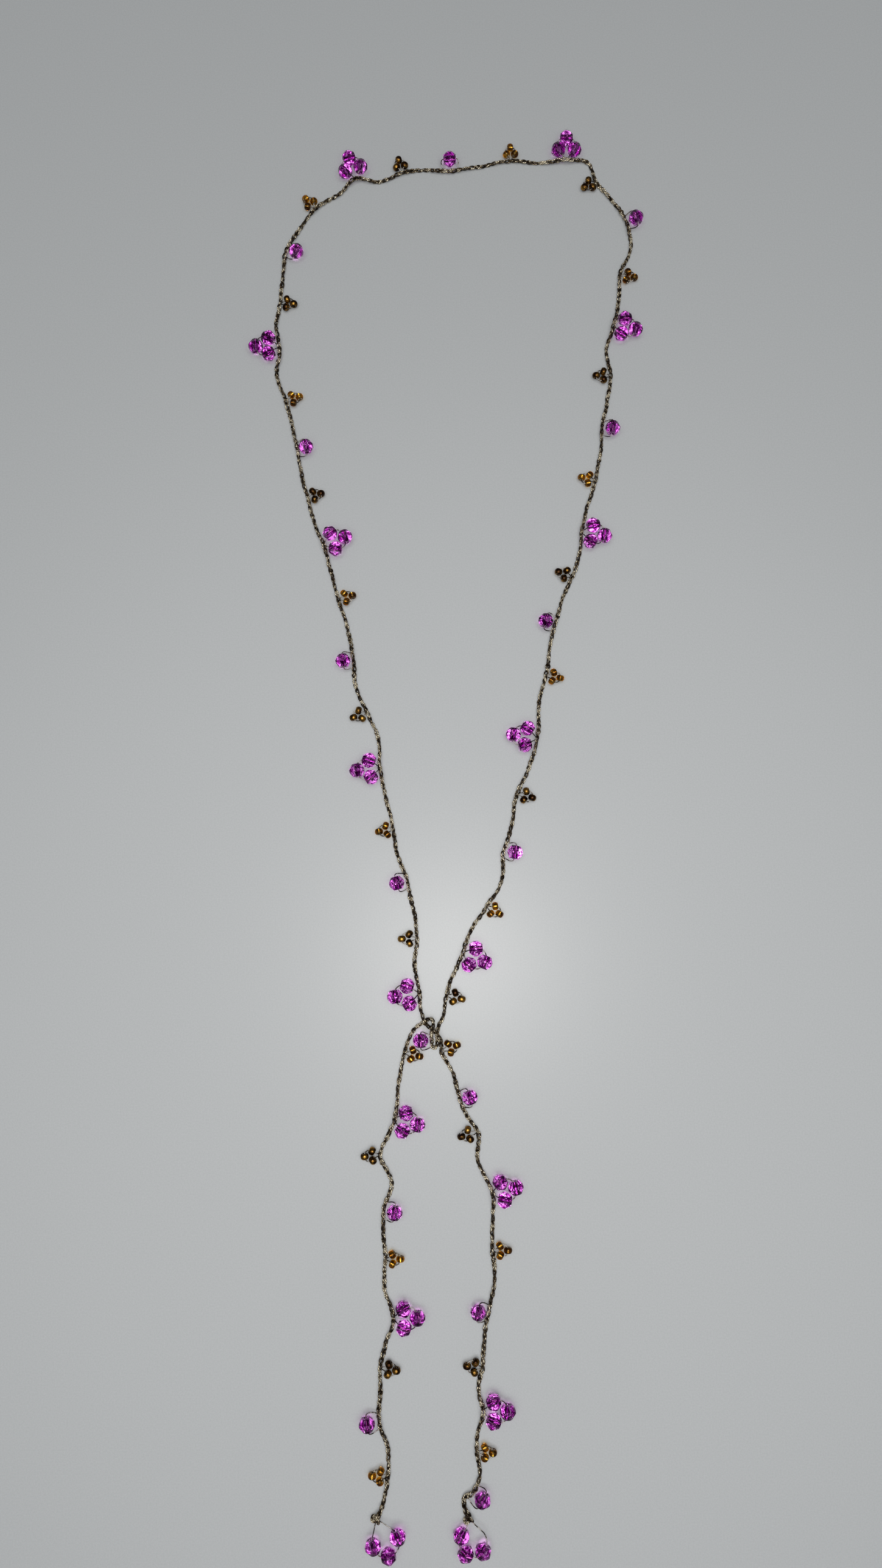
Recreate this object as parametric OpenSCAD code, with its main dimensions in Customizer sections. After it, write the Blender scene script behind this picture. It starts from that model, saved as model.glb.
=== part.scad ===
// Crocheted lariat necklace, lying flat, its two strands tied in one loose half knot.
// Bead picots hang off the cord in turn: violet cluster, amber seeds, single violet bead, bronze seeds.

/* [Cord] */
// Width of the crochet cord
cord_d = 1.15; // [0.9:0.05:1.15]
// Thickness of the bare thread that carries the beads
thread_d = 0.24; // [0.2:0.02:0.28]

/* [Faceted beads] */
// Width of a faceted bead across its corners
bead_d = 4.1; // [3.6:0.1:4.1]
// Length of a faceted bead along its bore
bead_len = 3.3; // [2.8:0.1:3.3]
// Bore of a faceted bead
bead_bore = 1.1; // [1.1:0.05:1.2]
// Flat end of a faceted bead round its bore
bead_table_d = 2.2; // [1.6:0.1:2.2]

/* [Seed beads] */
// Width of a seed bead
seed_d = 2.1; // [1.8:0.05:2.1]
// Length of a seed bead along its bore
seed_len = 1.55; // [1.1:0.05:1.55]
// Bore of a seed bead
seed_bore = 0.8; // [0.7:0.05:0.9]

/* [Picots] */
// Radius of the thread ring of a violet cluster
cluster_ring_r = 2.65; // [2.65:0.05:2.8]
// Cord to the middle of a violet cluster
cluster_reach = 3.5; // [3.5:0.1:3.8]
// Cord to the bore of a single violet bead
single_reach = 2.6; // [2.6:0.05:2.8]
// Radius of the thread ring of a seed cluster
seed_ring_r = 1.4; // [1.35:0.05:1.45]
// Cord to the middle of a seed cluster
seed_reach = 2.4; // [2.4:0.05:2.6]

/* [Ends] */
// Radius of the thread ring at each free end
end_ring_r = 3.3; // [3.3:0.1:3.5]
// Width of the stopper knot at each free end
end_knot_d = 3.0; // [2.6:0.1:3]

/* [Hidden] */
$fn = 48;

// Where the cord lies on the surface, and how high each kind of motif lifts it
cord_sides = 8;
cord_r = cord_d / 2;
lie = cord_r * cos(180 / cord_sides);
bead_flat_r = bead_d / 2 * cos(22.5);
seed_r = seed_d / 2;
cluster_lift = 1.3;
single_lift = 0.9;
seed_lift = 0.7;

// Half heights of the eight side flats and of the eight facets between them, as shares of the length
flat_share = 0.14;
edge_share = 0.05;

// How far along the cord a picot's nearest beads lie from its foot
cluster_spread = 2.4;
small_spread = 1.2;

// Angles of the beads round a picot's thread ring, from straight away from the cord
cluster_angles = [0, 114, -114];
seed_angles = [0, 120, -120];

// Thread of a single bead: how far its two legs stand off the cord and off the ends of the bead
leg_gap = 0.4;
leg_clear = 0.3;
leg_bend = 0.5;
single_thread_sides = 6;

// Half knot: heights of a strand that passes over, dips between and rides on top
over = 1.95;
under = 1.0;
top = 2.55;

// Motif columns: foot x, foot y, side of the cord that the beads hang on (1 is left of the way along
// the string), then x and y of the cord half way to the next motif. Where the half knot or an end
// comes next, its own points take that place.
MOTIFS = [
    // Left tail, from its end up to the half knot
    [-14, -162.5, 1, -14, -156.5],
    [-16.5, -150, 1, -16, -144.5],
    [-16, -138, -1, -14.5, -132.5],
    [-13, -126.5, -1, -15, -120.5],
    [-15, -113, -1, -15.5, -107],
    [-15.5, -101.5, -1, -13.5, -95],
    [-16.5, -88.5, 1, -14.5, -84],
    [-13, -80, -1, -12, -71.5],
    [-10.5, -64, -1],
    // The single bead that hangs inside the half knot
    [-3.9, -61, -1],
    // Right side of the neck loop, upwards
    [0, -50, -1, 1.5, -45],
    [4, -39.5, -1, 6.5, -33.5],
    [10, -28, -1, 13.5, -22],
    [14.5, -14, -1, 16.5, -7],
    [18, 0.5, -1, 21, 7.5],
    [23, 14.5, 1, 23.5, 23.5],
    [25.5, 31, -1, 26.5, 38],
    [28, 44.5, 1, 30, 51.5],
    [32.5, 57, 1, 34.5, 63],
    [35, 69, -1, 37, 76],
    [39, 83, 1, 40.5, 90.5],
    [41, 97.5, -1, 42.5, 105],
    [43.5, 112, 1, 42.5, 119],
    [44.5, 126, -1, 46, 133],
    [46.5, 140.5, -1, 49.5, 148.5],
    [48.5, 155.5, -1, 45, 162],
    [40.5, 167.5, 1, 38.5, 173],
    [32.5, 173.5, -1, 25.5, 173],
    [17.5, 173.5, -1, 9.5, 172],
    // Left side of the neck loop, downwards
    [1, 170.5, -1, -5.5, 171],
    [-12, 170, -1, -18, 167.5],
    [-24.5, 168, -1, -29.5, 163.5],
    [-35.5, 159.5, -1, -40, 153.5],
    [-43, 147.5, 1, -44, 140],
    [-44.5, 132.5, 1, -45.5, 126.5],
    [-44.5, 120, -1, -45, 112.5],
    [-42.5, 105, 1, -41, 99],
    [-39.5, 91.5, 1, -38.5, 85.5],
    [-36.5, 78.5, 1, -35, 72.5],
    [-32, 65.5, 1, -30, 58.5],
    [-28, 51, 1, -25.5, 43],
    [-24, 35, -1, -23.5, 28],
    [-20.5, 21.5, -1, -17.5, 14.5],
    [-17, 7, -1, -15.5, -0.5],
    [-13.5, -8.5, -1, -12.5, -15],
    [-10, -21.5, -1, -8.5, -28.5],
    [-7.5, -36, -1, -8, -43],
    [-7, -49.5, -1],
    // Right tail, from the half knot down to its end
    [-1.4, -63.6, 1, 1, -68],
    [3, -75.5, 1, 4.5, -79],
    [7.5, -83, -1, 7.5, -90],
    [11, -97.5, 1, 11, -103.5],
    [11, -111, 1, 11.5, -117.5],
    [10, -125.5, -1, 9, -131],
    [8.5, -138, -1, 7.5, -142],
    [8.5, -147.5, 1, 7.5, -152],
    [7, -157, 1, 7.5, -161],
    [6, -166, 1]
];
CLUSTERS = 16;
SINGLES = 15;
KNOT_SINGLE = 10;
TOP_MOTIF = 29;
KNOT_EXIT = 48;
LAST_MOTIF = 58;

// Cord points of the half knot and the ends: x, y and height
LEFT_END = [[-15.9, -170.3, 1.1], [-15, -167.5, lie]];
WRAP_UP = [
    [-9.5, -60.75, lie], [-8, -58.25, lie], [-6.75, -57.25, lie], [-5.5, -56.5, lie],
    [-4.75, -55.9, 0.8], [-4, -55.75, 1.3], [-3.5, -56.25, 1.7], [-3.5, -57, 2.1],
    [-3.8, -58.2, top], [-3.9, -59.4, 2.4]
];
WRAP_DOWN = [
    [-3.9, -62.25, lie], [-3.6, -62.8, lie], [-3, -62.9, lie], [-2.6, -62.4, lie],
    [-2.4, -59.6, lie], [-2.1, -57.75, lie], [-1.1, -55.5, lie]
];
THROUGH = [
    [-6.75, -52.25, lie], [-6.25, -54.5, 1.2], [-5.5, -56.5, over],
    [-3.9, -58.15, under], [-3.2, -58.85, 1.45], [-2.4, -59.7, over], [-1.5, -61.1, 1.5]
];
RIGHT_END = [[4, -167.5, lie], [4, -169, lie], [4.4, -170, 1.1]];

// Free ends: knot x, y; thread ring x, y; angles of the three beads round the ring
LEFT_TIP = [[-16.75, -171.75], [-14.5, -176.5], [198, 283, 22]];
RIGHT_TIP = [[5, -171.75], [6, -176.5], [152, 236, 320]];

// What hangs on a motif, and how high it holds the cord
KINDS = ["cluster", "amber", "single", "bronze"];
function kind(i) = KINDS[i % 4];
function lift(i) = kind(i) == "cluster" ? cluster_lift : kind(i) == "single" ? single_lift : seed_lift;

// Cord points of the motifs from first to last: each foot, with its motif number, and the way on
function legs(first, last) = [
    for (i = [first:last])
        let (m = MOTIFS[i - 1])
            each concat([[m[0], m[1], lift(i), i]], len(m) > 3 ? [[m[3], m[4], lie]] : [])
];
RIGHT_PART = concat(
    LEFT_END, legs(1, KNOT_SINGLE - 1), WRAP_UP, legs(KNOT_SINGLE, KNOT_SINGLE), WRAP_DOWN,
    legs(KNOT_SINGLE + 1, TOP_MOTIF)
);
LEFT_PART = concat(legs(TOP_MOTIF + 1, KNOT_EXIT), THROUGH, legs(KNOT_EXIT + 1, LAST_MOTIF), RIGHT_END);

// The middle of the whole necklace in the plan above, which is set over the origin
MIDDLE = [0.18, -0.097];
function placed(p) = [p[0] - MIDDLE[0], p[1] - MIDDLE[1], for (k = [2:1:len(p) - 1]) p[k]];
ROUTE = [for (p = concat(RIGHT_PART, LEFT_PART)) placed(p)];
JOIN = len(RIGHT_PART) - 1;
FEET = [for (k = [0:len(ROUTE) - 1]) if (len(ROUTE[k]) > 3) k];

// Tube swept along points, drawn from one of them to another
function xyz(p) = [p[0], p[1], p[2]];
function unit(v) = v / norm(v);
function way(path, k) = unit(xyz(path[min(k + 1, len(path) - 1)]) - xyz(path[max(k - 1, 0)]));
function ring(p, t, r, sides) =
    let (n = unit(cross([0, 0, 1], t)), b = cross(t, n))
        [
            for (s = [0:sides - 1])
                let (a = 360 * (s + 0.5) / sides) xyz(p) + r * (cos(a) * n + sin(a) * b)
        ];

module tube(path, first, last, r, sides) {
    rings = last - first;
    points = [for (k = [first:last]) each ring(path[k], way(path, k), r, sides)];
    wall = [
        for (k = [0:rings - 1], s = [0:sides - 1])
            let (a = k * sides + s, b = k * sides + (s + 1) % sides)
                each [[a, a + sides, b], [b, a + sides, b + sides]]
    ];
    start = [for (s = [0:sides - 1]) s];
    end = [for (s = [sides - 1:-1:0]) rings * sides + s];
    polyhedron(points = points, faces = concat(wall, [start], [end]), convexity = 10);
}

// Frame of a motif: X away from the cord, Y along it, on the surface
function flat_way(i) = let (k = FEET[i - 1], v = xyz(ROUTE[k + 1]) - xyz(ROUTE[k - 1])) unit([v[0], v[1]]);
function outward(i) = MOTIFS[i - 1][2] * [-flat_way(i)[1], flat_way(i)[0]];

// Where the cord bends round the side its picot is on, the picot stands off by that much more
function spread(i) = kind(i) == "cluster" ? cluster_spread : small_spread;
function bend(i, k) =
    let (v = xyz(ROUTE[k]) - xyz(ROUTE[FEET[i - 1]]), leg = [v[0], v[1]])
        (leg * outward(i)) / abs(leg * flat_way(i));
function stand_off(i) = spread(i) * max(0, bend(i, FEET[i - 1] - 1), bend(i, FEET[i - 1] + 1));

module at_motif(i) {
    foot = ROUTE[FEET[i - 1]];
    out = outward(i);
    translate([foot[0] + stand_off(i) * out[0], foot[1] + stand_off(i) * out[1], 0])
        rotate([0, 0, atan2(out[1], out[0])]) children();
}

// One faceted bead, its bore along Z: eight flat sides, two rows of eight facets and a table each end
module facet_cut(turn, waist_r, waist_h) {
    rotate([0, 0, turn]) rotate([90, 0, 0])
        linear_extrude(height = 2 * bead_d, center = true)
            polygon([
                [waist_r, waist_h], [bead_table_d / 2, bead_len / 2],
                [-bead_table_d / 2, bead_len / 2], [-waist_r, waist_h],
                [-waist_r, -waist_h], [-bead_table_d / 2, -bead_len / 2],
                [bead_table_d / 2, -bead_len / 2], [waist_r, -waist_h]
            ]);
}

module faceted_bead() {
    difference() {
        intersection_for(turn = [0:45:135]) {
            facet_cut(turn, bead_flat_r, bead_len * flat_share);
            facet_cut(turn + 22.5, bead_d / 2, bead_len * edge_share);
        }
        cylinder(d = bead_bore, h = 2 * bead_len, center = true);
    }
}

// One seed bead, its bore along Z: a ball with flat ends
module seed_bead() {
    difference() {
        intersection() {
            sphere(r = seed_r);
            cube([2 * seed_d, 2 * seed_d, seed_len], center = true);
        }
        cylinder(d = seed_bore, h = 2 * seed_len, center = true);
    }
}

// Beads strung on a thread ring sit where the ring's bow through the bore is centred
function strung_r(ring_r, len) = (ring_r + sqrt(ring_r * ring_r - len * len / 4)) / 2;
module on_ring(ring_r, len, angles, height) {
    for (a = angles)
        rotate([0, 0, a]) translate([strung_r(ring_r, len), 0, height]) rotate([90, 0, 0]) children();
}

module thread_ring(ring_r, height) {
    translate([0, 0, height]) rotate_extrude() translate([ring_r, 0]) circle(d = thread_d);
}

module end_cluster(tip) {
    translate(placed(tip[1])) on_ring(end_ring_r, bead_len, tip[2], bead_flat_r) faceted_bead();
}

module bead_cluster(n) {
    color([0.62, 0.16, 0.66]) {
        if (n == 1) end_cluster(LEFT_TIP);
        else if (n == CLUSTERS) end_cluster(RIGHT_TIP);
        else
            at_motif(4 * (n - 1)) translate([cluster_reach, 0, 0])
                on_ring(cluster_ring_r, bead_len, cluster_angles, bead_flat_r) faceted_bead();
    }
}

module single_bead(n) {
    color([0.62, 0.16, 0.66])
        at_motif(4 * n - 2) translate([single_reach, 0, bead_flat_r]) rotate([90, 0, 0]) faceted_bead();
}

module seed_clusters(of_kind) {
    for (i = [1:LAST_MOTIF])
        if (kind(i) == of_kind)
            at_motif(i) translate([seed_reach, 0, 0])
                on_ring(seed_ring_r, seed_len, seed_angles, seed_r) seed_bead();
}

module amber_seed_beads() {
    color([0.72, 0.48, 0.10]) seed_clusters("amber");
}

module bronze_seed_beads() {
    color([0.25, 0.15, 0.06]) seed_clusters("bronze");
}

// The thread of a single bead leaves the cord, runs through the bore and goes back
module single_thread() {
    leg_y = bead_len / 2 + leg_clear;
    foot_x = cord_r + leg_gap;
    bend_x = single_reach - leg_bend;
    mouth_y = bead_len / 2;
    path = [
        [foot_x, -leg_y, single_lift], [bend_x, -leg_y, bead_flat_r],
        [single_reach, -mouth_y, bead_flat_r], [single_reach, mouth_y, bead_flat_r],
        [bend_x, leg_y, bead_flat_r], [foot_x, leg_y, single_lift]
    ];
    tube(path, 0, len(path) - 1, thread_d / 2, single_thread_sides);
}

module picot_threads() {
    color([0.70, 0.68, 0.60]) {
        translate(placed(LEFT_TIP[1])) thread_ring(end_ring_r, bead_flat_r);
        translate(placed(RIGHT_TIP[1])) thread_ring(end_ring_r, bead_flat_r);
        for (i = [1:LAST_MOTIF])
            at_motif(i)
                if (kind(i) == "single") single_thread();
                else if (kind(i) == "cluster")
                    translate([cluster_reach, 0, 0]) thread_ring(cluster_ring_r, bead_flat_r);
                else translate([seed_reach, 0, 0]) thread_ring(seed_ring_r, seed_r);
    }
}

module right_strand() {
    color([0.66, 0.63, 0.54]) tube(ROUTE, 0, JOIN, cord_r, cord_sides);
}

module left_strand() {
    color([0.66, 0.63, 0.54]) tube(ROUTE, JOIN, len(ROUTE) - 1, cord_r, cord_sides);
}

// Stopper knot: a turn of cord round a short core
module end_knot(tip) {
    turn_r = (end_knot_d - cord_d) / 2;
    color([0.66, 0.63, 0.54])
        translate(placed([tip[0][0], tip[0][1], turn_r])) {
            rotate_extrude() translate([turn_r, 0]) circle(d = cord_d);
            sphere(r = turn_r);
        }
}

module left_end_knot() {
    end_knot(LEFT_TIP);
}

module right_end_knot() {
    end_knot(RIGHT_TIP);
}

function numbered(word, n) = str(word, "_", n < 10 ? "0" : "", n);

right_strand();
left_strand();
left_end_knot();
right_end_knot();
for (n = [1:CLUSTERS])
    bead_cluster(n);
for (n = [1:SINGLES])
    single_bead(n);
amber_seed_beads();
bronze_seed_beads();
picot_threads();
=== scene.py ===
"""A crocheted lariat necklace with violet faceted beads and amber and bronze seed beads, lying flat."""

import math

import bmesh
import bpy
import numpy as np
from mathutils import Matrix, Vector


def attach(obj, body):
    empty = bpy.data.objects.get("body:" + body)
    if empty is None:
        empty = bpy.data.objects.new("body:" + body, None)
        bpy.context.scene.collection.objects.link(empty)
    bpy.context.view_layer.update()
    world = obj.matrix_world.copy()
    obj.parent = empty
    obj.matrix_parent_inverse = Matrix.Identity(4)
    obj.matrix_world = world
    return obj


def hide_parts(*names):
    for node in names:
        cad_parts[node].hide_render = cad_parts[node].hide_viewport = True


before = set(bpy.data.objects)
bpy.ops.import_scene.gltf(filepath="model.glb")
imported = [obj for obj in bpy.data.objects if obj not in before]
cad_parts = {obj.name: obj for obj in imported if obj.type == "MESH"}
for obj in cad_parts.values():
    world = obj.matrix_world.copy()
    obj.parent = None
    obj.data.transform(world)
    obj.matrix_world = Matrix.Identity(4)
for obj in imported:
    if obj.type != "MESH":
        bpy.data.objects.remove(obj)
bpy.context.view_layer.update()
MM = 0.001
UP = np.array([0.0, 0.0, 1.0])
rng = np.random.default_rng(58)

# The camera, 300 mm over the surface and tilted from straight down
CAMERA_AT = (-0.00168, -0.033464, 0.297764)
CAMERA_TILT = math.radians(7)
LENS_MM = 27.04
SENSOR_MM = 36

# Cord and thread. The cord and the violet beads have eight sides in the CAD model and lie on one of
# them, which is this share of their radius from the middle. LIE is the height of the cord's middle.
FLAT_SIDE = math.cos(math.pi / 8)
CORD_R = 0.000575
LIE = CORD_R * FLAT_SIDE
YARN_R = 0.000198
STITCH = 0.0016
THREAD_R = 0.00012

# Beads
BEAD_LEN = 0.0033
BEAD_R = 0.00205
BEAD_FLAT_R = BEAD_R * FLAT_SIDE
SEED_R = 0.00105
SEED_LEN = 0.00155
SEED_BORE_R = 0.0004

# Picots: reach from the cord, ring radius, and in degrees the arc of thread round the ring and the
# angles of the seeds on it
CLUSTER_REACH, CLUSTER_RING_R = 0.0035, 0.00265
SEED_REACH, SEED_RING_R = 0.0024, 0.0014
SINGLE_REACH = 0.0026
CLUSTER_ARC, SEED_ARC = (-155, 155), (-157, 157)
SEED_ANGLES = (0, 120, -120)

# The legs of a picot's thread: how far from the foot they leave the cord, how far off its middle
# towards the beads, and how strongly those of a single bead curve
CLUSTER_ROOT, SEED_ROOT, SINGLE_ROOT = 0.0003, 0.0002, 0.0018
ROOT_INSET = 0.00025
LEG_SLACK = 1.25

# The half width of a picot at the cord, and the height of the cord's middle at each kind's foot
CLUSTER_SPREAD, SMALL_SPREAD = 0.0024, 0.0012
LIFT = {"cluster": 0.0013, "amber": 0.0007, "single": 0.0009, "bronze": 0.0007}
KINDS = ("cluster", "amber", "single", "bronze")

# Motif columns: foot x, foot y, side of the cord that the beads hang on, then x and y of the cord
# half way to the next motif. Where the half knot or an end comes next, its own points take that place.
MOTIFS = [
    (-0.0140, -0.1625, 1, -0.0140, -0.1565), (-0.0165, -0.1500, 1, -0.0160, -0.1445),
    (-0.0160, -0.1380, -1, -0.0145, -0.1325), (-0.0130, -0.1265, -1, -0.0150, -0.1205),
    (-0.0150, -0.1130, -1, -0.0155, -0.1070), (-0.0155, -0.1015, -1, -0.0135, -0.0950),
    (-0.0165, -0.0885, 1, -0.0145, -0.0840), (-0.0130, -0.0800, -1, -0.0120, -0.0715),
    (-0.0105, -0.0640, -1),
    (-0.0039, -0.0610, -1),
    (0.0000, -0.0500, -1, 0.0015, -0.0450), (0.0040, -0.0395, -1, 0.0065, -0.0335),
    (0.0100, -0.0280, -1, 0.0135, -0.0220), (0.0145, -0.0140, -1, 0.0165, -0.0070),
    (0.0180, 0.0005, -1, 0.0210, 0.0075), (0.0230, 0.0145, 1, 0.0235, 0.0235),
    (0.0255, 0.0310, -1, 0.0265, 0.0380), (0.0280, 0.0445, 1, 0.0300, 0.0515),
    (0.0325, 0.0570, 1, 0.0345, 0.0630), (0.0350, 0.0690, -1, 0.0370, 0.0760),
    (0.0390, 0.0830, 1, 0.0405, 0.0905), (0.0410, 0.0975, -1, 0.0425, 0.1050),
    (0.0435, 0.1120, 1, 0.0425, 0.1190), (0.0445, 0.1260, -1, 0.0460, 0.1330),
    (0.0465, 0.1405, -1, 0.0495, 0.1485), (0.0485, 0.1555, -1, 0.0450, 0.1620),
    (0.0405, 0.1675, 1, 0.0385, 0.1730), (0.0325, 0.1735, -1, 0.0255, 0.1730),
    (0.0175, 0.1735, -1, 0.0095, 0.1720),
    (0.0010, 0.1705, -1, -0.0055, 0.1710), (-0.0120, 0.1700, -1, -0.0180, 0.1675),
    (-0.0245, 0.1680, -1, -0.0295, 0.1635), (-0.0355, 0.1595, -1, -0.0400, 0.1535),
    (-0.0430, 0.1475, 1, -0.0440, 0.1400), (-0.0445, 0.1325, 1, -0.0455, 0.1265),
    (-0.0445, 0.1200, -1, -0.0450, 0.1125), (-0.0425, 0.1050, 1, -0.0410, 0.0990),
    (-0.0395, 0.0915, 1, -0.0385, 0.0855), (-0.0365, 0.0785, 1, -0.0350, 0.0725),
    (-0.0320, 0.0655, 1, -0.0300, 0.0585), (-0.0280, 0.0510, 1, -0.0255, 0.0430),
    (-0.0240, 0.0350, -1, -0.0235, 0.0280), (-0.0205, 0.0215, -1, -0.0175, 0.0145),
    (-0.0170, 0.0070, -1, -0.0155, -0.0005), (-0.0135, -0.0085, -1, -0.0125, -0.0150),
    (-0.0100, -0.0215, -1, -0.0085, -0.0285), (-0.0075, -0.0360, -1, -0.0080, -0.0430),
    (-0.0070, -0.0495, -1),
    (-0.0014, -0.0636, 1, 0.0010, -0.0680), (0.0030, -0.0755, 1, 0.0045, -0.0790),
    (0.0075, -0.0830, -1, 0.0075, -0.0900), (0.0110, -0.0975, 1, 0.0110, -0.1035),
    (0.0110, -0.1110, 1, 0.0115, -0.1175), (0.0100, -0.1255, -1, 0.0090, -0.1310),
    (0.0085, -0.1380, -1, 0.0075, -0.1420), (0.0085, -0.1475, 1, 0.0075, -0.1520),
    (0.0070, -0.1570, 1, 0.0075, -0.1610), (0.0060, -0.1660, 1),
]

# Numbers of motifs, counted from 1: the single bead in the half knot, the last motif before the strands
# meet near the top, the last one before the left strand goes through the knot, and the last on the cord
KNOT_SINGLE, TOP_MOTIF, KNOT_EXIT, LAST_MOTIF = 10, 29, 48, 58

# Cord points of the half knot and the ends: x, y and height. OVER, UNDER and TOP are the heights where
# the strands cross.
OVER, UNDER, TOP = 0.00195, 0.0010, 0.00255
LEFT_END = [(-0.0159, -0.1703, 0.0011), (-0.0150, -0.1675, LIE)]
WRAP_UP = [
    (-0.0095, -0.06075, LIE), (-0.0080, -0.05825, LIE), (-0.00675, -0.05725, LIE), (-0.0055, -0.0565, LIE),
    (-0.00475, -0.0559, 0.0008), (-0.0040, -0.05575, 0.0013), (-0.0035, -0.05625, 0.0017),
    (-0.0035, -0.0570, 0.0021), (-0.0038, -0.0582, TOP), (-0.0039, -0.0594, 0.0024),
]
WRAP_DOWN = [
    (-0.0039, -0.06225, LIE), (-0.0036, -0.0628, LIE), (-0.0030, -0.0629, LIE), (-0.0026, -0.0624, LIE),
    (-0.0024, -0.0596, LIE), (-0.0021, -0.05775, LIE), (-0.0011, -0.0555, LIE),
]
THROUGH = [
    (-0.00675, -0.05225, LIE), (-0.00625, -0.0545, 0.0012), (-0.0055, -0.0565, OVER),
    (-0.0039, -0.05815, UNDER), (-0.0032, -0.05885, 0.00145), (-0.0024, -0.0597, OVER),
    (-0.0015, -0.0611, 0.0015),
]
RIGHT_END = [(0.0040, -0.1675, LIE), (0.0040, -0.1690, LIE), (0.0044, -0.1700, 0.0011)]

# Free ends: the places of the knot and of the thread's ring, and the arc of thread round it in degrees
LEFT_KNOT, LEFT_RING, LEFT_ARC = (-0.01675, -0.17175), (-0.0145, -0.1765), (158, 423)
RIGHT_KNOT, RIGHT_RING, RIGHT_ARC = (0.0050, -0.17175), (0.0060, -0.1765), (118, 405)
END_RING_R = 0.0033

# The height of an end knot's middle
KNOT_MIDDLE = 0.00093

# The middle of all these places, which becomes the scene's origin
MIDDLE = (0.00018, -0.000097)


def kind(i):
    """The kind of the motif with number i, as they follow one another along the string."""
    return KINDS[i % 4]


def cord_points(first, last):
    """Cord points of the motifs from first to last: each foot, with its motif number, and the way on."""
    points = []
    for i in range(first, last + 1):
        row = MOTIFS[i - 1]
        points.append((row[0], row[1], LIFT[kind(i)], i))
        if len(row) > 3:
            points.append((row[3], row[4], LIE))
    return points


def placed(p):
    """A point with its x and y counted from the scene's origin."""
    return (p[0] - MIDDLE[0], p[1] - MIDDLE[1], *p[2:])


RIGHT_PART = LEFT_END + cord_points(1, KNOT_SINGLE - 1) + WRAP_UP + cord_points(KNOT_SINGLE, KNOT_SINGLE)
RIGHT_PART += WRAP_DOWN + cord_points(KNOT_SINGLE + 1, TOP_MOTIF)
LEFT_PART = cord_points(TOP_MOTIF + 1, KNOT_EXIT) + THROUGH + cord_points(KNOT_EXIT + 1, LAST_MOTIF)
LEFT_PART += RIGHT_END
PLACES = [placed(p) for p in RIGHT_PART + LEFT_PART]
ROUTE = np.array([p[:3] for p in PLACES])
JOIN = len(RIGHT_PART) - 1

# The place of each motif's foot in the route, by motif number
FEET = {p[3]: k for k, p in enumerate(PLACES) if len(p) > 3}


# Curves and tubes

def unit(v):
    """Vectors of length one in the directions of v."""
    return v / np.linalg.norm(v, axis=-1, keepdims=True)


def cubic(a, b, ta, tb, h, t):
    """Points on a cubic curve from a to b, with slopes ta and tb over a span of h, at t from 0 to 1."""
    t = t[:, None]
    return (
        (2 * t**3 - 3 * t**2 + 1) * a + (t**3 - 2 * t**2 + t) * h * ta
        + (-2 * t**3 + 3 * t**2) * b + (t**3 - t**2) * h * tb
    )


def smooth_route(points, step):
    """Points about a step apart on a smooth line through points. The height never overshoots them."""
    h = np.linalg.norm(np.diff(points, axis=0), axis=1)
    slope = np.diff(points, axis=0) / h[:, None]
    inner = (slope[1:] * h[:-1, None] + slope[:-1] * h[1:, None]) / (h[1:] + h[:-1])[:, None]
    rise_a, rise_b = slope[:-1, 2], slope[1:, 2]
    same = rise_a * rise_b > 0
    inner[:, 2] = np.where(same, 2 * rise_a * rise_b / np.where(same, rise_a + rise_b, 1), 0)
    tangents = np.vstack([slope[:1], inner, slope[-1:]])
    out = []
    for k, span in enumerate(h):
        t = np.linspace(0, 1, int(span / step), endpoint=False)
        out.append(cubic(points[k], points[k + 1], tangents[k], tangents[k + 1], span, t))
    return np.vstack(out + [points[-1:]])


def lengths(points):
    """The length along a line at each of its points."""
    return np.concatenate([[0], np.cumsum(np.linalg.norm(np.diff(points, axis=0), axis=1))])


def at_length(points, run, wanted):
    """Points on a line at the wanted lengths, where run is the length at each of its own points."""
    return np.stack([np.interp(wanted, run, points[:, c]) for c in range(3)], axis=1)


def length_near(points, run, place):
    """The length along a line at its point nearest to a place."""
    return run[np.argmin(np.linalg.norm(points - place, axis=1))]


def through(points, per_span):
    """A smooth line through points, with per_span steps between each two."""
    ext = np.vstack([2 * points[0] - points[1], points, 2 * points[-1] - points[-2]])
    a, b, c, d = ext[:-3], ext[1:-2], ext[2:-1], ext[3:]
    t = np.linspace(0, 1, per_span, endpoint=False)[None, :, None]
    a, b, c, d = (v[:, None, :] for v in (a, b, c, d))
    line = 0.5 * (2 * b + (c - a) * t + (2 * a - 5 * b + 4 * c - d) * t**2 + (3 * b - a - 3 * c + d) * t**3)
    return np.vstack([line.reshape(-1, 3), points[-1:]])


def carried_frames(points):
    """Tangents and normals along a line, each normal carried on from the last with no twist of its own."""
    tangents = unit(np.gradient(points, axis=0))
    n = np.cross(UP, tangents[0])
    normals = [n / np.linalg.norm(n)]
    for t in tangents[1:].tolist():
        x, y, z = normals[-1]
        d = x * t[0] + y * t[1] + z * t[2]
        x, y, z = x - d * t[0], y - d * t[1], z - d * t[2]
        s = math.sqrt(x * x + y * y + z * z)
        normals.append((x / s, y / s, z / s))
    return tangents, np.array(normals)


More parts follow.
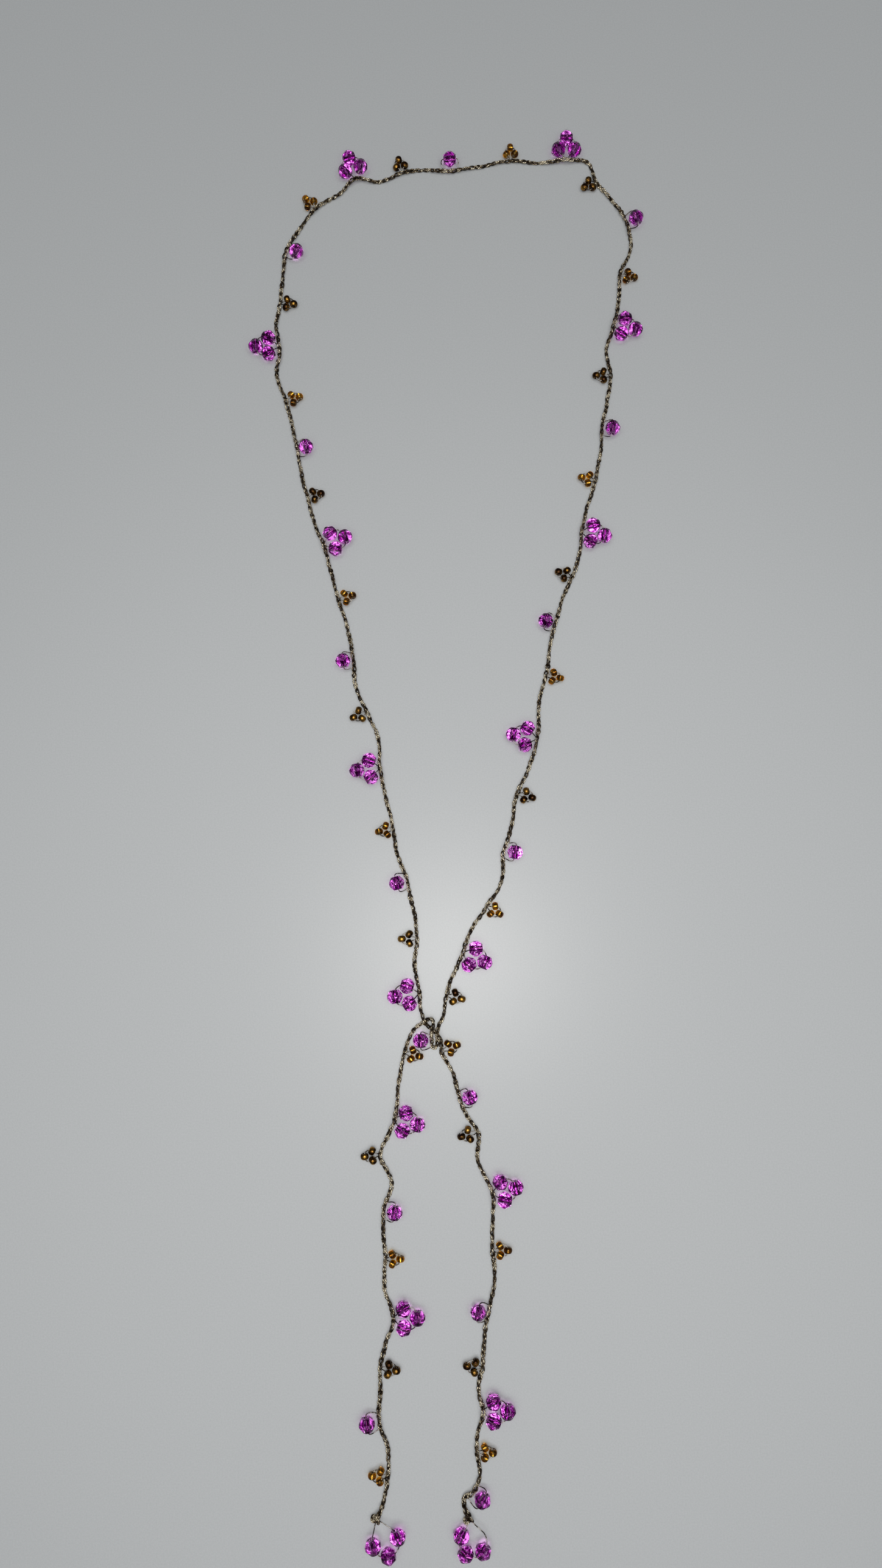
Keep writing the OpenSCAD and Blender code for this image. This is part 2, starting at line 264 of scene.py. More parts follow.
def tube(points, radius, sides):
    """(vertices, quads, texture coordinates, end triangles) of a round tube along points, its ends shut.
    The texture coordinates are the share of the way round and the length in millimetres."""
    count = len(points)
    tangents, n = carried_frames(points)
    b = np.cross(tangents, n)
    angle = np.arange(sides) * 2 * math.pi / sides
    around = np.cos(angle)[None, :, None] * n[:, None] + np.sin(angle)[None, :, None] * b[:, None]
    verts = (points[:, None] + radius * around).reshape(-1, 3)
    k, s = np.meshgrid(np.arange(count - 1), np.arange(sides), indexing="ij")
    k2, s2 = k + 1, (s + 1) % sides
    quads = np.stack([k * sides + s, k * sides + s2, k2 * sides + s2, k2 * sides + s], -1).reshape(-1, 4)
    run = lengths(points) / MM
    u0, u1 = s / sides, (s + 1) / sides
    v0, v1 = run[k], run[k2]
    uv = np.stack([np.stack(p, -1) for p in ((u0, v0), (u1, v0), (u1, v1), (u0, v1))], -2).reshape(-1, 4, 2)
    first, last, last_ring = len(verts), len(verts) + 1, (count - 1) * sides
    s = np.arange(sides)
    s2 = (s + 1) % sides
    low = np.stack([np.full(sides, first), s2, s], -1)
    high = np.stack([np.full(sides, last), last_ring + s, last_ring + s2], -1)
    return np.vstack([verts, points[:1], points[-1:]]), quads, uv, np.vstack([low, high])


def joined(tubes):
    """Several tubes or beads as one set of arrays."""
    verts, quads, uvs, tris = [], [], [], []
    base = 0
    for v, q, uv, t in tubes:
        verts.append(v)
        quads.append(q + base)
        uvs.append(uv)
        tris.append(t + base)
        base += len(v)
    return np.vstack(verts), np.vstack(quads), np.vstack(uvs), np.vstack(tris)


def on_surface(arrays, low=0.000004):
    """The arrays with each vertex no lower than just over the surface."""
    arrays[0][:, 2] = np.maximum(arrays[0][:, 2], low)
    return arrays


def new_object(name, data):
    """An object with its data, in the scene."""
    ob = bpy.data.objects.new(name, data)
    bpy.context.scene.collection.objects.link(ob)
    return ob


def mesh_piece(name, arrays, material):
    """A smooth-shaded object of quads and end triangles, its texture coordinates in a map named yarn."""
    verts, quads, uv, tris = arrays
    me = bpy.data.meshes.new(name)
    loops = np.concatenate([quads.ravel(), tris.ravel()]).astype(np.int32)
    totals = np.concatenate([np.full(len(quads), 4), np.full(len(tris), 3)])
    me.vertices.add(len(verts))
    me.vertices.foreach_set("co", verts.astype(np.float32).ravel())
    me.loops.add(len(loops))
    me.loops.foreach_set("vertex_index", loops)
    me.polygons.add(len(totals))
    starts = np.concatenate([[0], np.cumsum(totals)[:-1]]).astype(np.int32)
    me.polygons.foreach_set("loop_start", starts)
    layer = me.uv_layers.new(name="yarn")
    flat = np.zeros((len(loops), 2), np.float32)
    flat[: len(uv) * 4] = uv.reshape(-1, 2)
    layer.uv.foreach_set("vector", flat.ravel())
    me.polygons.foreach_set("use_smooth", np.ones(len(totals), bool))
    me.materials.append(material)
    me.update(calc_edges=True)
    me.validate()
    return new_object(name, me)


def stand_for(piece, cad_node):
    """The piece takes the place of a CAD node, which is hidden, and hangs from the root body."""
    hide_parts(cad_node)
    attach(piece, "root")


# Materials

PLIES = 3.0


def new_material(name):
    """A material with no nodes yet, and its node tree."""
    mat = bpy.data.materials.new(name)
    mat.use_nodes = True
    mat.node_tree.nodes.clear()
    return mat, mat.node_tree


def node(tree, type_name, inputs=None, **values):
    """A new node, its inputs linked to sockets or set to values."""
    n = tree.nodes.new("ShaderNode" + type_name)
    for key, value in values.items():
        setattr(n, key, value)
    for key, value in (inputs or {}).items():
        if isinstance(value, bpy.types.NodeSocket):
            tree.links.new(value, n.inputs[key])
        else:
            n.inputs[key].default_value = value
    return n


def maths(tree, operation, *values):
    """The result of an operation on sockets or numbers."""
    return node(tree, "Math", dict(enumerate(values)), operation=operation).outputs[0]


def ramp(tree, fac, stops):
    """The colour that a value picks from stops, each a place from 0 to 1 and its colour."""
    n = node(tree, "ValToRGB", {"Fac": fac})
    while len(n.color_ramp.elements) < len(stops):
        n.color_ramp.elements.new(0.5)
    for element, (at, colour) in zip(n.color_ramp.elements, stops):
        element.position = at
        element.color = (*colour, 1)
    return n.outputs["Color"]


def noise(tree, vector, scale, detail=2.0):
    """Noise about 0.5 with scale waves to a metre."""
    return node(tree, "TexNoise", {"Vector": vector, "Scale": scale, "Detail": detail}).outputs["Fac"]


def remap(tree, value, to, within=(0.0, 1.0)):
    """A value that runs over the range within, moved to the range to."""
    inputs = {"Value": value, "From Min": within[0], "From Max": within[1], "To Min": to[0], "To Max": to[1]}
    return node(tree, "MapRange", inputs).outputs["Result"]


def bump(tree, height, strength, distance):
    """Normals of a relief, where a height from 0 to 1 stands for a distance in metres."""
    inputs = {"Height": height, "Strength": strength, "Distance": distance}
    return node(tree, "Bump", inputs).outputs["Normal"]


def principled(tree, inputs):
    """The shader of all these materials, with its inputs linked or set."""
    return node(tree, "BsdfPrincipled", inputs).outputs["BSDF"]


def lets_light_through(tree, shader, colour):
    """The shader, with shadows of a colour in place of full ones."""
    clear = node(tree, "BsdfTransparent", {"Color": colour}).outputs["BSDF"]
    shadow = node(tree, "LightPath").outputs["Is Shadow Ray"]
    return node(tree, "MixShader", {0: shadow, 1: shader, 2: clear}).outputs[0]


def show(tree, shader):
    """Makes a shader the one that the material shows."""
    node(tree, "OutputMaterial", {"Surface": shader})


def spun_yarn(name, dark, olive, painted_glint_colour, ply_per_mm):
    """Lustrous thread: plies twisted round each other, with painted shade that darkens it between them, and
    painted glints in places.
    """
    mat, tree = new_material(name)
    uv = node(tree, "UVMap", uv_map="yarn").outputs["UV"]
    parts = node(tree, "SeparateXYZ", {"Vector": uv}).outputs
    round_thread = maths(tree, "MULTIPLY", parts["X"], PLIES)
    along_thread = maths(tree, "MULTIPLY", parts["Y"], ply_per_mm)
    half_ply = maths(tree, "PINGPONG", maths(tree, "ADD", round_thread, along_thread), 0.5)
    ply = maths(tree, "MULTIPLY", half_ply, 2.0)
    place = node(tree, "TexCoord").outputs["Object"]
    # Painted light: where this noise is high the yarn is pale as a glint, where low it is dark
    painted_glint = noise(tree, place, scale=900.0, detail=1.0)
    spread = remap(tree, painted_glint, to=(0.11, 1.0), within=(0.43, 0.60))
    # Painted shade between the plies and painted glints on them
    painted_shade_and_glint = maths(tree, "MULTIPLY", spread, ply)
    show(tree, principled(tree, {
        "Base Color": ramp(tree, painted_shade_and_glint, [(0.05, dark), (0.35, olive), (0.72, painted_glint_colour)]),
        "Metallic": 0.7,
        "Roughness": remap(tree, painted_glint, to=(0.2, 0.45), within=(0.42, 0.58)),
        "Specular IOR Level": 0.6,
        "Normal": bump(tree, ply, strength=0.35, distance=0.00004),
    }))
    return mat


def glass(name, deep, bright, soft, shift, gloss, rough, shade, spot):
    """Coloured glass in patches from deep to bright, with more or less soft edges: painted light and shade
    for the light and dark that the glass bends. The pattern shifts with the normal, by up to shift metres,
    so each facet has its own. Reflections have the colour gloss.
    Light falls through in spots of the colour spot, and as dimly as shade between them and at the rim.
    The roughness varies about rough."""
    mat, tree = new_material(name)
    at = node(tree, "TexCoord").outputs
    place = at["Object"]
    moved = {0: at["Normal"], 1: (shift, shift, shift), 2: place}
    by_facet = node(tree, "VectorMath", moved, operation="MULTIPLY_ADD").outputs[0]
    # Painted light and shade: each facet is tinted from deep to bright
    painted_facet_light = noise(tree, by_facet, scale=380.0, detail=1.0)
    worn = noise(tree, place, scale=2600.0, detail=3.0)
    ripple = noise(tree, place, scale=700.0)
    shader = principled(tree, {
        "Base Color": ramp(tree, painted_facet_light, [(0.5 - soft, deep), (0.5 + soft, bright)]),
        "Roughness": remap(tree, worn, to=(rough * 0.4, rough * 1.8)),
        "IOR": 1.52,
        "Transmission Weight": 1.0,
        "Specular Tint": (*gloss, 1),
        "Normal": bump(tree, ripple, strength=0.25, distance=0.00003),
    })
    spots = noise(tree, place, scale=800.0, detail=1.0)
    # Less light falls through where the glass slants away
    slant = node(tree, "LayerWeight", {"Blend": 0.5}).outputs["Facing"]
    falls = maths(tree, "MULTIPLY_ADD", slant, -0.7, spots)
    gathered = ramp(tree, falls, [(0.22, shade), (0.44, spot)])
    show(tree, lets_light_through(tree, shader, gathered))
    return mat


def bore_wall(name, dark, pale, shade):
    """The drilled wall of a glass bead, matt, its near black colour painted shade: a dark band seen through
    the glass.
    """
    mat, tree = new_material(name)
    place = node(tree, "TexCoord").outputs["Object"]
    grain = noise(tree, place, scale=1500.0, detail=3.0)
    # Painted shade: the wall is near black
    shader = principled(tree, {
        "Base Color": ramp(tree, grain, [(0.35, dark), (0.7, pale)]),
        "Roughness": 0.6,
        "IOR": 1.5,
        "Transmission Weight": 0.1,
        "Specular IOR Level": 0.2,
    })
    show(tree, lets_light_through(tree, shader, (*shade, 1)))
    return mat


def silver_lining(name, dull, bright):
    """The silvered wall of a seed bead's bore, worn unevenly, which shines through the glass."""
    mat, tree = new_material(name)
    place = node(tree, "TexCoord").outputs["Object"]
    worn = noise(tree, place, scale=1900.0)
    show(tree, principled(tree, {
        "Base Color": ramp(tree, worn, [(0.4, dull), (0.6, bright)]),
        "Metallic": 1.0,
        "Roughness": remap(tree, worn, to=(0.4, 0.12)),
    }))
    return mat


def bronze_glaze(name, dark, golden):
    """Dark brown seed beads with a metallic golden glaze in patches, which stand partly for uneven glaze and
    partly for painted glints and shade.
    """
    mat, tree = new_material(name)
    place = node(tree, "TexCoord").outputs["Object"]
    glaze_and_painted_glint = noise(tree, place, scale=700.0, detail=3.0)
    # Partly painted light: golden patches stand for glints, dark ones for shade
    show(tree, principled(tree, {
        "Base Color": ramp(tree, glaze_and_painted_glint, [(0.44, dark), (0.66, golden)]),
        "Metallic": 1.0,
        "Roughness": remap(tree, glaze_and_painted_glint, to=(0.15, 0.35)),
        "Coat Weight": 0.15,
        "Coat Roughness": 0.06,
    }))
    return mat


def pale_surface(name, dark, pale):
    """Smooth pale grey laminate with a faint grain."""
    mat, tree = new_material(name)
    place = node(tree, "TexCoord").outputs["Object"]
    grain = noise(tree, place, scale=2600.0, detail=4.0)
    show(tree, principled(tree, {
        "Base Color": ramp(tree, grain, [(0.3, dark), (0.7, pale)]),
        "Roughness": 0.33,
    }))
    return mat


YARN = spun_yarn(
    "cord_yarn", dark=(0.016, 0.009, 0.003), olive=(0.135, 0.086, 0.036), painted_glint_colour=(1.0, 0.91, 0.69),
    ply_per_mm=1.6,
)
PICOT_YARN = spun_yarn(
    "picot_thread", dark=(0.012, 0.008, 0.005), olive=(0.17, 0.13, 0.09), painted_glint_colour=(0.92, 0.88, 0.82),
    ply_per_mm=2.6,
)
VIOLET = glass(
    "violet_glass", deep=(0.055, 0.0003, 0.053), bright=(1.0, 0.44, 1.0), soft=0.03, shift=0.009,
    gloss=(0.65, 0.2, 0.65), rough=0.03, shade=(0.15, 0.01, 0.15), spot=(2.2, 1.9, 2.2),
)
BORE = bore_wall("violet_bore", dark=(0.018, 0.001, 0.016), pale=(0.06, 0.004, 0.055), shade=(0.8, 0.6, 0.8))
AMBER = glass(
    "amber_glass", deep=(0.06, 0.013, 0.0005), bright=(0.65, 0.30, 0.024), soft=0.10, shift=0.001,
    gloss=(0.8, 0.55, 0.2), rough=0.05, shade=(0.15, 0.08, 0.02), spot=(2.0, 1.8, 1.0),
)
LINING = silver_lining("silver_lining", dull=(0.24, 0.20, 0.16), bright=(1.0, 0.95, 0.88))
BRONZE = bronze_glaze("bronze_glaze", dark=(0.028, 0.009, 0.0006), golden=(0.42, 0.22, 0.04))
LAMINATE = pale_surface("pale_surface", dark=(0.418, 0.43, 0.430), pale=(0.458, 0.47, 0.470))


# The crochet cord: one yarn worked into chain stitches along each strand

# Yarn points of one chain stitch: across, along and up, in shares of WIDE, the stitch and HIGH.
# The last three pass behind the stitch, on the way to the next one.
CHAIN = [
    (-0.25, 0, -0.6), (-0.45, 0.35, 0.8), (-1, 0.85, 0.35), (-0.6, 1.25, -0.1), (0, 1.4, -0.35),
    (0.6, 1.25, -0.1), (1, 0.85, 0.35), (0.45, 0.35, 0.8), (0.25, 0, -0.6),
    (0.35, 0.2, -1.1), (0.3, 0.5, -1.2), (-0.1, 0.8, -1.1),
]
WIDE, HIGH = 0.00039, 0.00030
TURNS_PER_M = 55.0

# The steps of the yarn's tube from one such point to the next, and its sides
YARN_STEPS, YARN_SIDES = 3, 6

# How much the stitches differ: in size, in how they swell along the cord and where a picot is rooted,
# in how the cord turns about its line and in how it sways aside of it. EACH is the length of cord
# from one random value to the next.
STITCH_LEAST, STITCH_MOST = 0.86, 1.08
SWELL, SWELL_EACH = 0.12, 0.0035
ROOT_SWELL, ROOT_REACH = 0.22, 0.0012
TURN, TURN_EACH = 0.7, 0.012
SWAY, SWAY_EACH = 0.00010, 0.0045

# The line of the whole cord, and the short way to either side by which its direction is measured
LINE_STEP = 0.0001
CORD_LINE = smooth_route(ROUTE, LINE_STEP)
CORD_RUN = lengths(CORD_LINE)
NEARBY = 0.0002


def wander(length, spacing, size):
    """A random value that changes gradually along a length, with a new one each spacing. The first
    lies before the start and the last two past the end."""
    count = int(length / spacing) + 4
    values = rng.normal(0, size, count)
    knots = np.arange(count) * spacing - spacing
    return lambda s: np.interp(s, knots, values)


def crochet(line, wide=WIDE, high=HIGH, stitch=STITCH, turns_per_m=TURNS_PER_M, roots=(), sway=SWAY):
    """The yarn's path in chain stitches along a line. They turn slowly about it and swell at its roots."""
    run = lengths(line)
    total = run[-1]
    count = round(total / stitch)
    pitch = total / count

    # How far along, across and over the line the yarn's points are, stitch by stitch
    shape = np.array(CHAIN)
    along, across, up = [], [], []
    size = rng.uniform(STITCH_LEAST, STITCH_MOST, (count, 3))
    starts = np.arange(count) * pitch
    swell = 1 + wander(total, SWELL_EACH, SWELL)(starts)
    for root in roots:
        swell += ROOT_SWELL * np.exp(-((starts - root) / ROOT_REACH) ** 2)
    for j in range(count):
        along.append((j + shape[:, 1] * size[j, 0]) * pitch)
        across.append(shape[:, 0] * wide * size[j, 1] * swell[j])
        up.append(shape[:, 2] * high * size[j, 2] * swell[j])
    s = np.clip(np.concatenate(along), 0, total)
    across, up = np.concatenate(across), np.concatenate(up)

    # The line at those points, and its sideways and upward directions there, turned about it
    centre = at_length(line, run, s)
    ahead = at_length(line, run, np.minimum(s + NEARBY, total))
    behind = at_length(line, run, np.maximum(s - NEARBY, 0))
    forward = unit(ahead - behind)
    left = unit(np.cross(UP, forward))
    above = np.cross(forward, left)
    turn = wander(total, TURN_EACH, TURN)(s) + 2 * math.pi * turns_per_m * s
    c, d = np.cos(turn)[:, None], np.sin(turn)[:, None]
    side = c * left + d * above
    over = c * above - d * left
    aside = wander(total, SWAY_EACH, sway)(s)[:, None] * left
    return centre + aside + across[:, None] * side + up[:, None] * over


def yarn_piece(name, stitches, radius):
    """The yarn of a cord node, as a tube through the points of its stitches."""
    yarn = on_surface(tube(through(stitches, YARN_STEPS), radius, YARN_SIDES))
    stand_for(mesh_piece(name + "_crochet", yarn, YARN), name)


def strand(name, first, last, knot):
    """A strand of the cord over the route's points from first to last, and on into its end knot."""
    start, end = (length_near(CORD_LINE, CORD_RUN, ROUTE[k]) for k in (first, last))
    own = at_length(CORD_LINE, CORD_RUN, np.arange(start, end, LINE_STEP))
    into = np.array([*placed(knot), KNOT_MIDDLE])
    own = np.vstack([into, own]) if first == 0 else np.vstack([own, into])
    own_run = lengths(own)
    roots = []
    for i, k in FEET.items():
        if first <= k <= last:
            foot = length_near(own, own_run, ROUTE[k])
            roots += [foot - SINGLE_ROOT, foot + SINGLE_ROOT] if kind(i) == "single" else [foot]
    yarn_piece(name, crochet(own, roots=roots), YARN_R)


strand("right_strand", 0, JOIN, LEFT_KNOT)
strand("left_strand", JOIN, len(ROUTE) - 1, RIGHT_KNOT)


# Stopper knots: the cord worked into a tight overhand lump at each free end, in finer stitches

# The trefoil's scale and half height, the points along it and the angle at which the yarn starts
KNOT_SCALE, KNOT_RISE = 0.00035, 0.00046
KNOT_POINTS, KNOT_START = 160, 0.4

# Its stitches, and the radius of their yarn
KNOT_WIDE, KNOT_HIGH, KNOT_STITCH = 0.00027, 0.00022, 0.0013
KNOT_TURNS_PER_M = 90.0
KNOT_YARN_R = 0.00017


def end_knot(name, at, turned):
    """A stopper knot along a trefoil that is turned by an angle on the surface."""
    t = np.linspace(0, 2 * math.pi, KNOT_POINTS) + KNOT_START
    x, y = np.sin(t) + 2 * np.sin(2 * t), np.cos(t) - 2 * np.cos(2 * t)
    c, s = math.cos(turned), math.sin(turned)
    centre = placed(at)
    line = np.stack([
        centre[0] + KNOT_SCALE * (c * x - s * y),
        centre[1] + KNOT_SCALE * (s * x + c * y),
        KNOT_MIDDLE - KNOT_RISE * np.sin(3 * t),
    ], axis=1)
    stitches = crochet(line, KNOT_WIDE, KNOT_HIGH, KNOT_STITCH, KNOT_TURNS_PER_M, sway=0)
    yarn_piece(name, stitches, KNOT_YARN_R)


end_knot("left_end_knot", LEFT_KNOT, turned=math.radians(20))
end_knot("right_end_knot", RIGHT_KNOT, turned=math.radians(60))


# Faceted beads: the cut facets with the softly rounded edges of polished glass

FACET_ROUNDING, ROUNDING_STEPS = 0.00009, 2

# How near corners of the CAD mesh are one corner, how flat a bend between faces is no edge, and how
# sharp one is rounded
SAME_PLACE = 1e-6
SAME_PLANE, LEAST_EDGE = math.radians(1), math.radians(11)


def loose_parts(bm):
    """The faces of each closed solid in a mesh."""
    left, parts = set(bm.faces), []
    while left:
        part, edge = set(), [left.pop()]
        while edge:
            face = edge.pop()
            part.add(face)
            near = {f for e in face.edges for f in e.link_faces if f in left}
            left -= near
            edge += near
        parts.append(part)
    return parts


def cut_beads(name):
    """The faceted beads of a CAD node, with flat facets made whole, drilled walls and rounded edges."""
    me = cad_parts[name].data.copy()
    me.name = name + "_cut"
    bm = bmesh.new()
    bm.from_mesh(me)
    bmesh.ops.remove_doubles(bm, verts=bm.verts, dist=SAME_PLACE)
    bmesh.ops.dissolve_limit(bm, angle_limit=SAME_PLANE, verts=bm.verts, edges=bm.edges)
    for bead in loose_parts(bm):
        corners = {v for face in bead for v in face.verts}
        middle = sum((v.co for v in corners), Vector()) / len(corners)
        for face in bead:
            face.smooth = True
            faces_in = (face.calc_center_median() - middle).dot(face.normal) < 0
            face.material_index = 1 if faces_in else 0
    bm.to_mesh(me)
    bm.free()
    me.materials.clear()
    me.materials.append(VIOLET)
    me.materials.append(BORE)
    ob = new_object(me.name, me)
    soft = ob.modifiers.new("soft_edges", "BEVEL")
    soft.width = FACET_ROUNDING
    soft.segments = ROUNDING_STEPS
    soft.limit_method = "ANGLE"
    soft.angle_limit = LEAST_EDGE
    soft.harden_normals = True
    stand_for(ob, name)


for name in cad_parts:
    if name.startswith(("bead_cluster", "single_bead")):
        cut_beads(name)


# Frame of a motif: X away from the cord, Y along it, on the surface

def flat_way(i):
    """The direction of the cord at a motif's foot, on the surface."""
    k = FEET[i]
    return unit((ROUTE[k + 1] - ROUTE[k - 1])[:2])


def outward(i):
    """The direction in which a motif's beads hang off the cord, on the surface."""
    w = flat_way(i)
    return MOTIFS[i - 1][2] * np.array([-w[1], w[0]])


def stand_off(i):
    """How far the cord bends towards a motif's beads within the half width of its picot."""
    out, way, k = outward(i), flat_way(i), FEET[i]
    spread = CLUSTER_SPREAD if kind(i) == "cluster" else SMALL_SPREAD
    bends = [(ROUTE[n] - ROUTE[k])[:2] for n in (k - 1, k + 1)]
    return spread * max(0, *(leg @ out / abs(leg @ way) for leg in bends))


def at_motif(i, points):
    """Points of a motif's frame in the scene."""
    out = outward(i)
    foot = ROUTE[FEET[i]][:2] + stand_off(i) * out
    axes = np.array([[out[0], out[1], 0], [-out[1], out[0], 0], [0, 0, 1.0]])
    return points @ axes + np.array([foot[0], foot[1], 0])


# Seed beads: a round profile turned about the bore. The profile's points are (radius, height), round
# the wall from the lower end of the belly over the rim and down the bore to the rim below.

BELLY_DEGREES, BELLY_POINTS = 38, 9
BELLY = np.radians(np.linspace(-BELLY_DEGREES, BELLY_DEGREES, BELLY_POINTS))
SEED_OUTER = [(SEED_R * math.cos(a), SEED_R * math.sin(a)) for a in BELLY]
SEED_RIM = [(0.00076, 0.000715), (0.00067, 0.000762), (0.00056, SEED_LEN / 2), (0.00046, 0.00074)]
SEED_BORE = [(SEED_BORE_R, 0.00065), (SEED_BORE_R, 0.0002)]
SEED_UPPER = SEED_RIM + SEED_BORE
SEED_PROFILE = np.array(SEED_OUTER + SEED_UPPER + [(r, -h) for r, h in reversed(SEED_UPPER)])
SEED_SIDES = 24

# The faces of the bore, counted round the profile from 0, run from BORE_START to before BORE_END
BORE_START = len(SEED_OUTER + SEED_RIM)
BORE_END = BORE_START + 2 * len(SEED_BORE) - 1

# The least and most of a seed's width and length, as shares of the profile's, and how far it tilts
SEED_LEAST, SEED_MOST = (0.965, 0.94), (1.0, 1.0)
SEED_TILT = 0.07

# The ring of the seeds' middles, half way between the thread's ring and the chord of it in a seed
STRUNG_R = (SEED_RING_R + math.sqrt(SEED_RING_R**2 - SEED_LEN**2 / 4)) / 2


def seed_bead(centre, axis, across):
    """One seed bead with its bore along axis, a little out of true."""
    profile = SEED_PROFILE * rng.uniform(SEED_LEAST, SEED_MOST)
    tilt = rng.normal(0, SEED_TILT, 2)
    axis = unit(axis + tilt[0] * across + tilt[1] * UP)
    across = unit(across - (across @ axis) * axis)
    third = np.cross(axis, across)
    a = np.arange(SEED_SIDES) * 2 * math.pi / SEED_SIDES
    turn = np.cos(a)[:, None] * across + np.sin(a)[:, None] * third
    verts = centre + profile[None, :, :1] * turn[:, None] + profile[None, :, 1:] * axis
    n = len(profile)
    k, s = np.meshgrid(np.arange(SEED_SIDES), np.arange(n), indexing="ij")
    k2, s2 = (k + 1) % SEED_SIDES, (s + 1) % n
    faces = np.stack([k * n + s, k2 * n + s, k2 * n + s2, k * n + s2], -1).reshape(-1, 4)
    uv = np.zeros((len(faces), 4, 2))
    return verts.reshape(-1, 3), faces, uv, np.empty((0, 3), int)


def seed_piece(name, of_kind, material, lining=None):
    """All seeds of one kind of motif, three on each ring, with the lining on the faces of the bore."""
    beads = []
    for i in range(1, LAST_MOTIF + 1):
        if kind(i) != of_kind:
            continue
        for a in np.radians(SEED_ANGLES):
            near = np.array([[SEED_REACH + STRUNG_R * math.cos(a), STRUNG_R * math.sin(a), SEED_R]])
            ways = np.array([[0, 0, 0], [-math.sin(a), math.cos(a), 0], [math.cos(a), math.sin(a), 0]])
            origin, axis, across = at_motif(i, ways)
            beads.append(seed_bead(at_motif(i, near)[0], axis - origin, across - origin))
    ob = mesh_piece(name + "_turned", on_surface(joined(beads)), material)
    if lining:
        ob.data.materials.append(lining)
        round_profile = np.arange(len(ob.data.polygons)) % len(SEED_PROFILE)
        in_bore = (round_profile >= BORE_START) & (round_profile < BORE_END)
        ob.data.polygons.foreach_set("material_index", in_bore.astype(np.int32))
    stand_for(ob, name)


seed_piece("amber_seed_beads", "amber", AMBER, LINING)
seed_piece("bronze_seed_beads", "bronze", BRONZE)


# Picot threads: each leaves the cord, runs through the bores of its beads and comes back

THREAD_STEP, THREAD_SIDES = 0.00012, 8

# The points that a thread is drawn through, and the fine steps of its curve from each to the next
RING_POINTS, END_RING_POINTS, LEG_POINTS = 26, 40, 6
CURVE_STEPS = 12

# How far from the end knot's middle the legs of its thread start
KNOT_ROOT = 0.0006


def on_cord(i, away):
    """A point in the cord, away along it from a motif's foot and a little towards the beads."""
    here = length_near(CORD_LINE, CORD_RUN, ROUTE[FEET[i]])
    point = at_length(CORD_LINE, CORD_RUN, np.array([here + away]))[0]
    return point + ROOT_INSET * np.append(outward(i), 0)


def thread(points):
    """A thread through points, evenly stepped."""
    line = through(np.array(points), CURVE_STEPS)
    run = lengths(line)
    line = at_length(line, run, np.linspace(0, run[-1], int(run[-1] / THREAD_STEP)))
    return tube(line, THREAD_R, THREAD_SIDES)


def ring_points(centre, radius, arc, height, count=RING_POINTS):
    """Points round a centre over an arc, given by its first and last angle in degrees."""
    a = np.radians(np.linspace(*arc, count))
    x, y = centre[0] + radius * np.cos(a), centre[1] + radius * np.sin(a)
    return np.stack([x, y, np.full(count, height)], 1)


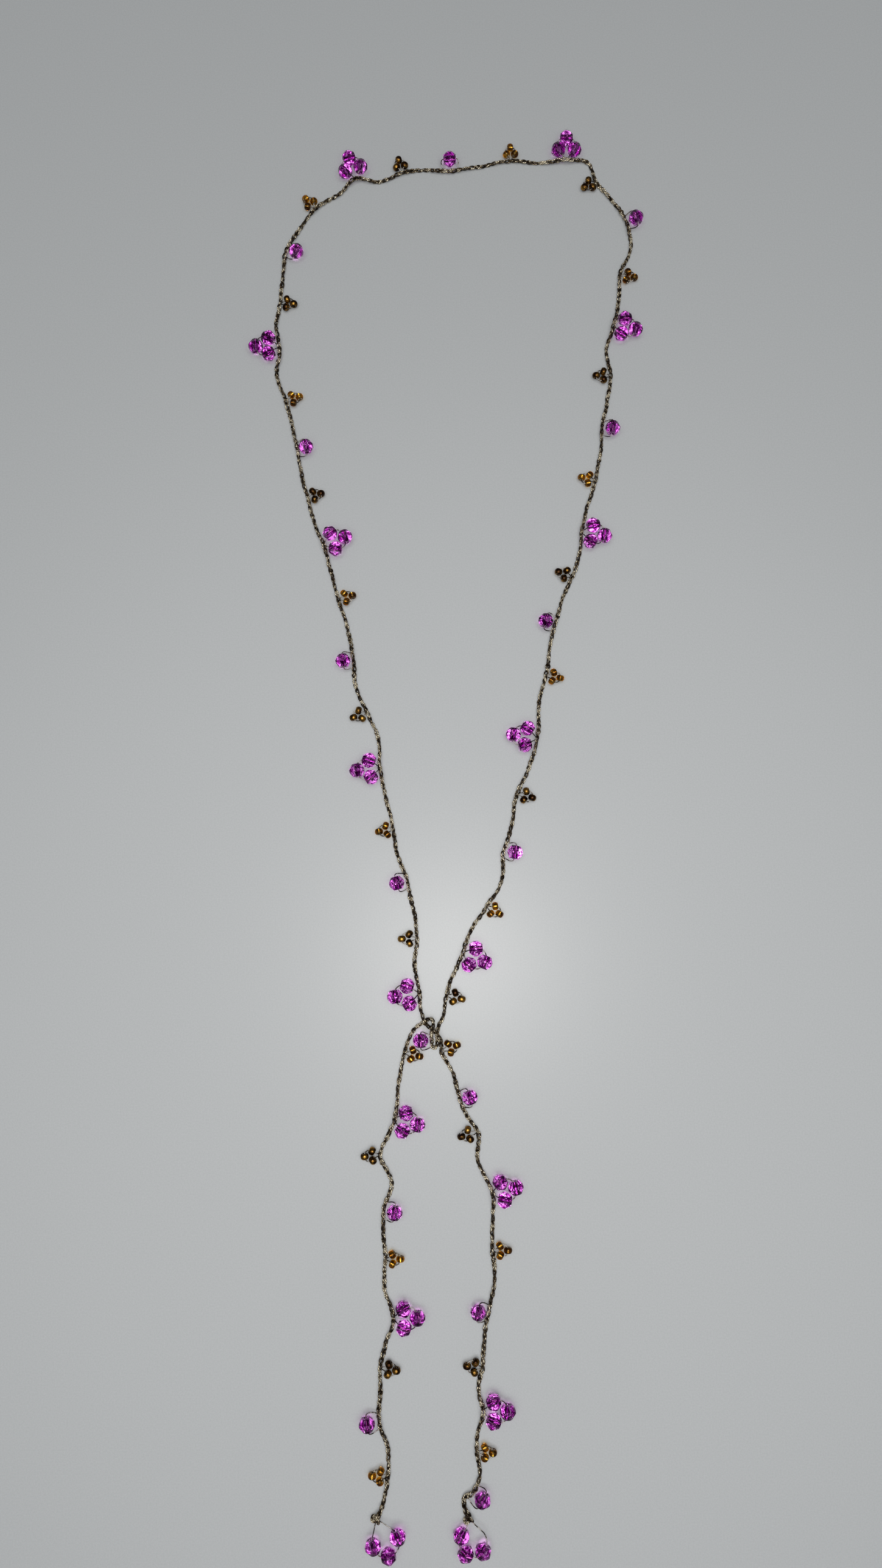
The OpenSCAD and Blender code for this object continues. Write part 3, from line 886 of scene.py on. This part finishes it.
def picot_thread(i):
    """A motif's thread, out of the cord, through its beads and back into the cord."""
    if kind(i) == "single":
        loop = np.array([(SINGLE_REACH, y, BEAD_FLAT_R) for y in (-BEAD_LEN / 2, 0, BEAD_LEN / 2)])
        away = SINGLE_ROOT
    elif kind(i) == "cluster":
        loop = ring_points((CLUSTER_REACH, 0), CLUSTER_RING_R, CLUSTER_ARC, BEAD_FLAT_R)
        away = CLUSTER_ROOT
    else:
        loop = ring_points((SEED_REACH, 0), SEED_RING_R, SEED_ARC, SEED_R)
        away = SEED_ROOT
    loop = at_motif(i, loop)
    ends = [on_cord(i, -away), on_cord(i, away)]
    way = np.append(flat_way(i), 0)
    if (loop[0] - loop[-1]) @ way > 0:
        ends.reverse()
    if kind(i) != "single":
        return thread([ends[0], *loop, ends[1]])
    out, bore = np.append(outward(i), 0), unit(loop[-1] - loop[0])
    spans = [np.linalg.norm(end - mouth) * LEG_SLACK for end, mouth in zip(ends, (loop[0], loop[-1]))]
    t = np.linspace(0, 1, LEG_POINTS)
    leg_in = cubic(ends[0], loop[0], out - bore / 2, bore, spans[0], t)
    leg_out = cubic(loop[-1], ends[1], bore, -out - bore / 2, spans[1], t)
    return thread([*leg_in, loop[1], *leg_out])


def end_thread(knot, ring, arc):
    """The thread of a free end leaves the knot, runs round the arc of its ring and comes back."""
    middle = np.array([*placed(knot), KNOT_MIDDLE])
    loop = ring_points(placed(ring), END_RING_R, arc, BEAD_FLAT_R, END_RING_POINTS)
    ends = [middle + KNOT_ROOT * unit(mouth - middle) for mouth in (loop[0], loop[-1])]
    return thread([ends[0], *loop, ends[1]])


threads = [picot_thread(i) for i in range(1, LAST_MOTIF + 1)]
threads.append(end_thread(LEFT_KNOT, LEFT_RING, LEFT_ARC))
threads.append(end_thread(RIGHT_KNOT, RIGHT_RING, RIGHT_ARC))
stand_for(mesh_piece("picot_thread_loops", joined(threads), PICOT_YARN), "picot_threads")


# The floor, the lights and the camera

bpy.ops.mesh.primitive_plane_add(size=3)
floor = bpy.context.object
floor.name = "surface"
floor.data.materials.append(LAMINATE)

world = bpy.data.worlds.new("room")
world.use_nodes = True
background = world.node_tree.nodes["Background"].inputs
background["Color"].default_value = (0.92, 0.96, 1.0, 1)
background["Strength"].default_value = 0.14
bpy.context.scene.world = world
bpy.context.scene.view_settings.view_transform = "Standard"


def area_light(name, at, aim, size, power, colour):
    """A round soft light that shines from one place towards another."""
    data = bpy.data.lights.new(name, "AREA")
    data.shape = "DISK"
    data.size = size
    data.energy = power
    data.color = colour
    ob = new_object(name, data)
    ob.location = at
    ob.rotation_euler = (Vector(aim) - Vector(at)).to_track_quat("-Z", "Y").to_euler()


area_light("key", at=(0.006, -0.05, 0.40), aim=(0, 0, 0), size=0.05, power=0.36, colour=(1.0, 0.98, 0.95))
area_light(
    "ceiling", at=(0.03, -0.16, 1.1), aim=(0, -0.05, 0), size=1.5, power=10.6, colour=(0.98, 0.985, 1.0),
)

optics = bpy.data.cameras.new("camera")
optics.lens = LENS_MM
optics.sensor_width = SENSOR_MM
optics.clip_start = 0.01
camera = new_object("camera", optics)
camera.location = CAMERA_AT
camera.rotation_euler = (CAMERA_TILT, 0, 0)
bpy.context.scene.camera = camera
